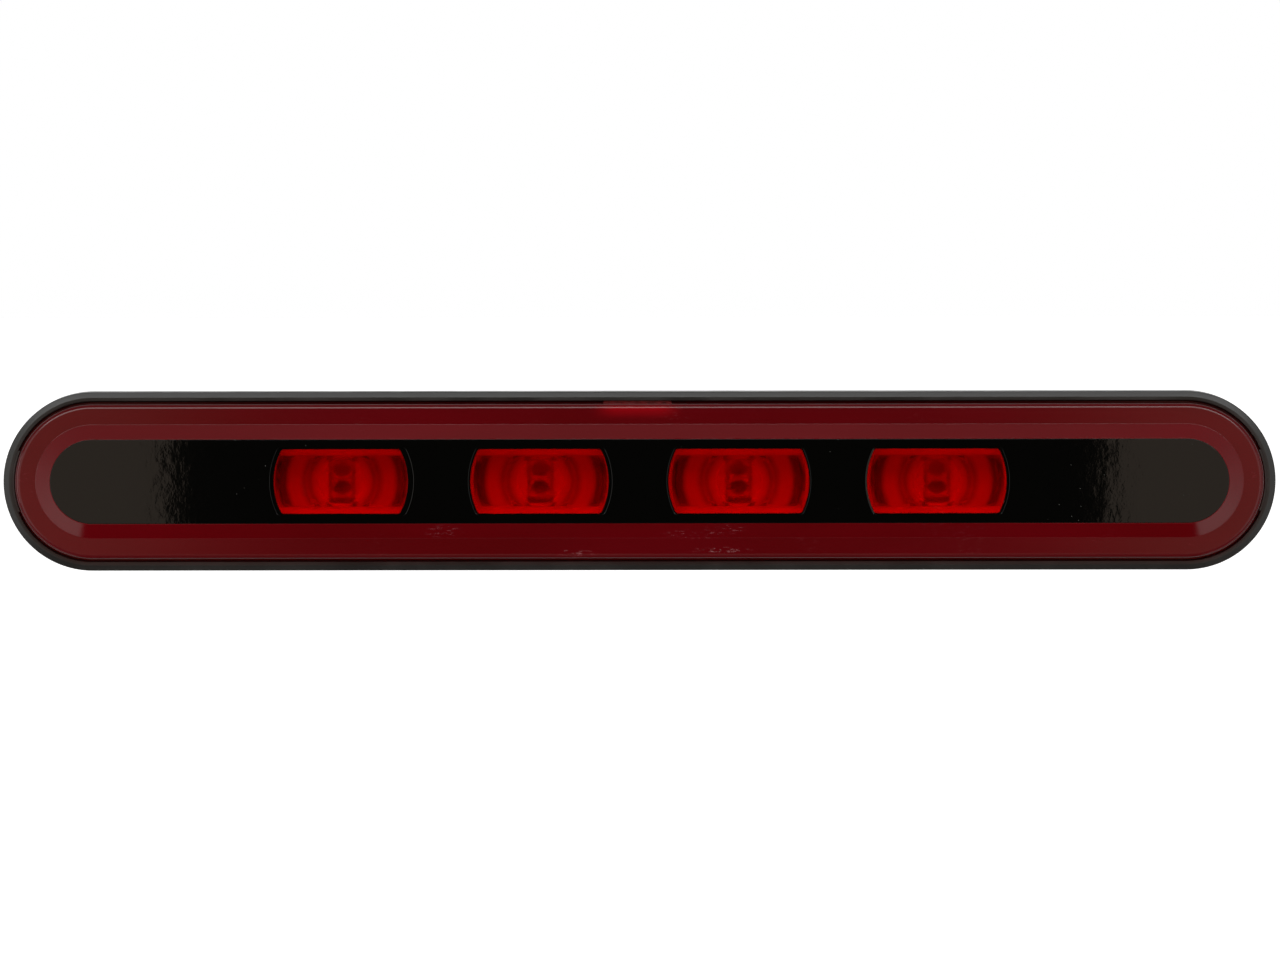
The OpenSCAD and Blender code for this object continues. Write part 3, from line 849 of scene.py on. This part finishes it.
def build_led(node, package, resin):
    """An LED package and the window of resin over its chip."""
    low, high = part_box(node)
    x, y = (low.x + high.x) / 2 / MM, (low.z + high.z) / 2 / MM
    width, height = 2 * LED_HALF_W, 2 * LED_HALF_T
    side = rounded_box(x, y, width, height, 0.15)
    lid = rounded_box(x, y, width - 0.2, height - 0.2, 0.1)
    body = Shell()
    foot = body.loop(side, BOARD_TOP)
    top = body.grow(foot, [(side, LED_TOP - 0.1), (lid, LED_TOP)])
    cup = body.column([(oval(x, y, 1.45), LED_TOP), (oval(x, y, 1.25), LED_TOP - 0.6)])
    body.cap(foot)
    body.cap(top, [cup])
    body.piece(f"{node}_package", package, "lamp", node)

    pane = Shell()
    pane.solid((oval(x, y, 1.27), LED_TOP - 0.59), (oval(x, y, 1.42), LED_TOP - 0.1),
               (oval(x, y, 1.2), LED_TOP - 0.06), (oval(x, y, 0.5), LED_TOP - 0.02))
    pane.piece(f"{node}_resin", resin, "lamp", node)


def build_leds(package, resin):
    """Two LEDs behind each optic."""
    for i in WINDOWS:
        for level in ("upper", "lower"):
            build_led(f"led_{i}_{level}", package, resin)


# ---- Spring clips ----

def build_legs(material):
    """Four sprung legs: a curl round the saddle's bead, a sloping strip, a barb and a tail."""
    pivot_x, pivot_h = 2.9, -8.95
    strip, half_w = 0.48, 3.8
    curl = offset_strip(arc(0, 0, 0.85, 220, 465, 28), strip)
    blade = offset_strip(fillet([(0.66, 0.55, 0), (3.71, 7.14, 0.7), (2.12, 8.83, 0)], 8), strip)
    for side, end in ((-1, "left"), (1, "right")):
        for face, place in ((side, "outer"), (-side, "inner")):
            leg = Shell(from_above)
            for outline in (curl, blade):
                seen = [(side * CLIP_X + face * (pivot_x + a), pivot_h + b) for a, b in outline]
                leg.prism(seen, -half_w, half_w)
            body = f"{end}_{place}_leg"
            leg.piece(f"{body}_strip", material, body, f"{end}_clip_{place}_leg", edge=0.08)


# ---- Stage: floor, lights and camera ----

# Distances on the stage are in metres, the camera's sensor is in millimetres
VIEW_DISTANCE = 4.0
VIEW_ELEVATION = math.radians(0.6)
VIEW_ROLL = math.radians(-0.065)
PICTURE_WIDTH = 251.6 * MM
SENSOR = 36


def build_sheet(name, corners):
    """A four-cornered sheet for the stage, and the node tree of its material."""
    data = bpy.data.meshes.new(name)
    data.from_pydata(corners, [], [(0, 1, 2, 3)])
    material = bpy.data.materials.new(name)
    material.use_nodes = True
    data.materials.append(material)
    made = bpy.data.objects.new(name, data)
    bpy.context.scene.collection.objects.link(made)
    return made, material.node_tree


def build_floor():
    """A pale floor that looks white from above and lets views from below through."""
    half, z = 60, -0.12
    made, tree = build_sheet("floor", [
        (-half, -half, z), (half, -half, z), (half, half, z), (-half, half, z)])
    nodes, links = tree.nodes, tree.links
    surface = nodes["Principled BSDF"]
    surface.inputs["Base Color"].default_value = (0.85, 0.85, 0.85, 1)
    surface.inputs["Roughness"].default_value = 0.8
    surface.inputs["Emission Color"].default_value = (1, 1, 1, 1)
    surface.inputs["Emission Strength"].default_value = 0.95
    clear = nodes.new("ShaderNodeBsdfTransparent")
    side = nodes.new("ShaderNodeNewGeometry")
    mixed = nodes.new("ShaderNodeMixShader")
    links.new(side.outputs["Backfacing"], mixed.inputs[0])
    links.new(surface.outputs[0], mixed.inputs[1])
    links.new(clear.outputs[0], mixed.inputs[2])
    links.new(mixed.outputs[0], nodes["Material Output"].inputs["Surface"])
    made.visible_diffuse = False
    made.visible_glossy = False
    made.visible_transmission = False
    made.visible_shadow = False


def build_world():
    """White to the camera. The lamp is lit by, and mirrors, a dim room with these parts by direction:
    white behind the lamp, a warm patch behind the camera, and a narrow ring round the lamp's sides, which
    is bright towards the floor, less so towards the ceiling and dark straight below.
    """
    world = bpy.data.worlds.new("studio")
    bpy.context.scene.world = world
    world.use_nodes = True
    nodes, links = world.node_tree.nodes, world.node_tree.links
    nodes.clear()

    def add(kind, inputs=(), **settings):
        node = nodes.new(kind)
        for name, value in settings.items():
            setattr(node, name, value)
        for key, value in dict(inputs).items():
            if isinstance(value, bpy.types.NodeSocket):
                links.new(value, node.inputs[key])
            else:
                node.inputs[key].default_value = value
        return node

    def share(value, low, high):
        return add("ShaderNodeMapRange", {"Value": value, "From Min": low, "From Max": high}).outputs[0]

    def blend(amount, one, two):
        return add("ShaderNodeMix", {0: amount, 6: one, 7: two}, data_type="RGBA").outputs[2]

    direction = add("ShaderNodeTexCoord").outputs["Generated"]
    parts = add("ShaderNodeSeparateXYZ", {0: direction}).outputs
    ring = add("ShaderNodeValToRGB", {0: share(parts["Z"], -1, 1)})
    # Brightness of the ring from straight down, 0, to straight up, 1
    levels = ((0.0, 0.01), (0.012, 0.012), (0.018, 0.98), (0.2, 0.98),
              (0.5, 0.66), (0.85, 0.38), (1.0, 0.31))
    stops = ring.color_ramp.elements
    while len(stops) < len(levels):
        stops.new(0.5)
    for stop, (position, level) in zip(stops, levels):
        stop.position = position
        stop.color = (level, level, level * 0.97, 1)

    off_ring = share(add("ShaderNodeMath", {0: parts["Y"]}, operation="ABSOLUTE").outputs[0], 0.07, 0.16)
    room = blend(off_ring, ring.outputs["Color"], (0.12, 0.115, 0.11, 1))
    room = blend(share(parts["Y"], 0.5, 0.7), room, (1, 1, 1, 1))
    room = blend(share(parts["Y"], -0.8, -0.97), room, (0.5, 0.4, 0.32, 1))
    seen = add("ShaderNodeLightPath").outputs["Is Camera Ray"]
    lit = add("ShaderNodeBackground", {"Color": room, "Strength": 1.0})
    white = add("ShaderNodeBackground", {"Color": (1, 1, 1, 1), "Strength": 1.0})
    mixed = add("ShaderNodeMixShader", {0: seen, 1: lit.outputs[0], 2: white.outputs[0]})
    add("ShaderNodeOutputWorld", {"Surface": mixed.outputs[0]})


def look_at(made, target):
    made.rotation_euler = (Vector(target) - made.location).to_track_quat("-Z", "Y").to_euler()


def softbox(name, location, width, height, radiance, mirrored=True):
    """An area light that faces the lamp, hidden from the camera and, if not mirrored, from reflections."""
    light = bpy.data.lights.new(name, "AREA")
    light.shape = "RECTANGLE"
    light.size, light.size_y = width, height
    light.energy = radiance * width * height * math.pi
    made = bpy.data.objects.new(name, light)
    made.location = location
    bpy.context.scene.collection.objects.link(made)
    look_at(made, (0, 0, 0))
    made.visible_camera = False
    made.visible_glossy = mirrored


def build_card():
    """The black card in front of the lamp, which only its gloss faces mirror."""
    y, half_w, half_h = -0.5, 0.1035, 0.16
    made, tree = build_sheet("card", [
        (-half_w, y, -half_h), (half_w, y, -half_h), (half_w, y, half_h), (-half_w, y, half_h)])
    surface = tree.nodes["Principled BSDF"]
    surface.inputs["Base Color"].default_value = (0.002, 0.002, 0.002, 1)
    surface.inputs["Specular IOR Level"].default_value = 0
    made.visible_camera = False
    made.visible_diffuse = False
    made.visible_shadow = False


def build_lights():
    softbox("key", (0, -0.8, 0.56), 1.3, 0.34, 4.5)
    softbox("left", (-0.8, -0.9, 0.05), 0.8, 1.4, 0.9)
    softbox("right", (0.8, -0.9, 0.05), 0.8, 1.4, 0.75)
    softbox("left_edge", (-1.2, -0.35, 0.05), 0.2, 0.7, 4.2)
    softbox("right_edge", (1.2, -0.35, 0.05), 0.2, 0.7, 1.0)
    softbox("fill", (0, -0.8, -0.6), 1.3, 0.7, 1.6, mirrored=False)


def build_camera():
    data = bpy.data.cameras.new("camera")
    data.sensor_width = SENSOR
    data.lens = SENSOR * VIEW_DISTANCE / PICTURE_WIDTH
    data.clip_start, data.clip_end = 0.1, 200
    made = bpy.data.objects.new("camera", data)
    bpy.context.scene.collection.objects.link(made)
    target = Vector((0.09, -RIM_H, 0.18)) * MM
    towards = Vector((0, -math.cos(VIEW_ELEVATION), math.sin(VIEW_ELEVATION)))
    made.location = target + towards * VIEW_DISTANCE
    facing_it = (target - made.location).to_track_quat("-Z", "Y")
    made.rotation_euler = (facing_it @ Matrix.Rotation(VIEW_ROLL, 3, "Z").to_quaternion()).to_euler()
    bpy.context.scene.camera = made
    bpy.context.scene.view_settings.view_transform = "Standard"


def main():
    plastic = housing_plastic()
    build_housing(plastic)
    build_end_lips(plastic)
    build_catches(plastic)
    build_gasket(foam_rubber())
    build_lens(red_lens(), gate_red())
    build_mask(black_mask())
    build_optics(clear_optic())
    build_leds(led_package(), led_resin())
    steel = spring_steel()
    build_legs(steel)

    soften("inner_bezel", bezel_plastic(), 0.15)
    soften("reflector", reflector_white(), 0.12)
    soften("circuit_board", board_laminate(), 0.08)
    soften("lens_seal", seal_silicone(), 0.1)
    black = chip_black()
    for i in WINDOWS:
        soften(f"resistor_{i}", black, 0.08)
    for node in ("polarity_diode", "surge_suppressor", "current_driver"):
        soften(node, black, 0.08)
    tan = ceramic_tan()
    for node in ("capacitor_1", "capacitor_2"):
        soften(node, tan, 0.08)
    brass = tinned_brass()
    for node in ("positive_terminal", "ground_terminal"):
        soften(node, brass, 0.1)
    soften("terminal_potting", potting_resin(), 0.1)
    joint = solder()
    for node in ("positive_solder_joint", "ground_solder_joint"):
        soften(node, joint, 0.1)
    soften("vent_membrane", vent_film(), 0.03)
    soften("vent_cap", cap_plastic(), 0.15)
    screw = screw_steel()
    for place in ("reflector_screw", "board_screw"):
        for side in ("left", "right"):
            soften(f"{place}_{side}", screw, 0.08)
    for side in ("left", "right"):
        soften(f"{side}_clip_saddle", steel, 0.08)

    build_floor()
    build_card()
    build_world()
    build_lights()
    build_camera()


main()
